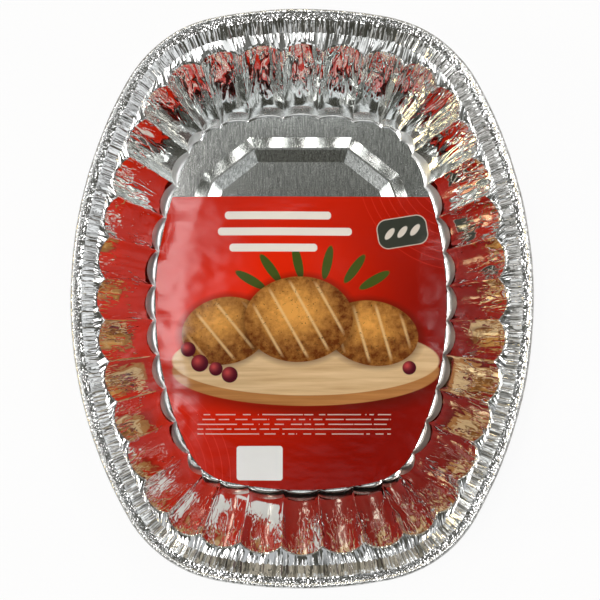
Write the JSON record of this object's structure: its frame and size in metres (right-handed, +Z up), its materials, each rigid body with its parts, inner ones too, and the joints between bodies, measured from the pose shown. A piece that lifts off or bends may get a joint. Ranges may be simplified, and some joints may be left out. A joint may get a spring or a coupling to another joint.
{
  "type": "foil roasting pan",
  "caption": "Large oval roasting pan pressed from aluminium foil, with a fluted wall, a pleated rim with a rolled bead, a ribbed floor and a loose paper label lying inside.",
  "frame": {"origin": "middle of the underside of the floor, on the surface that the pan stands on", "axes": "+X across the pan, +Y along it towards the end that the label leaves bare, +Z up out of the pan"},
  "size_m": [0.3654, 0.4568, 0.0779],
  "materials": {
    "foil": "bright crinkled foil, satin on the floor",
    "label_paper": "glossy print"
  },
  "bodies": {
    "root": {"foil_pan": "foil", "paper_label": "label_paper"}
  },
  "joints": []
}
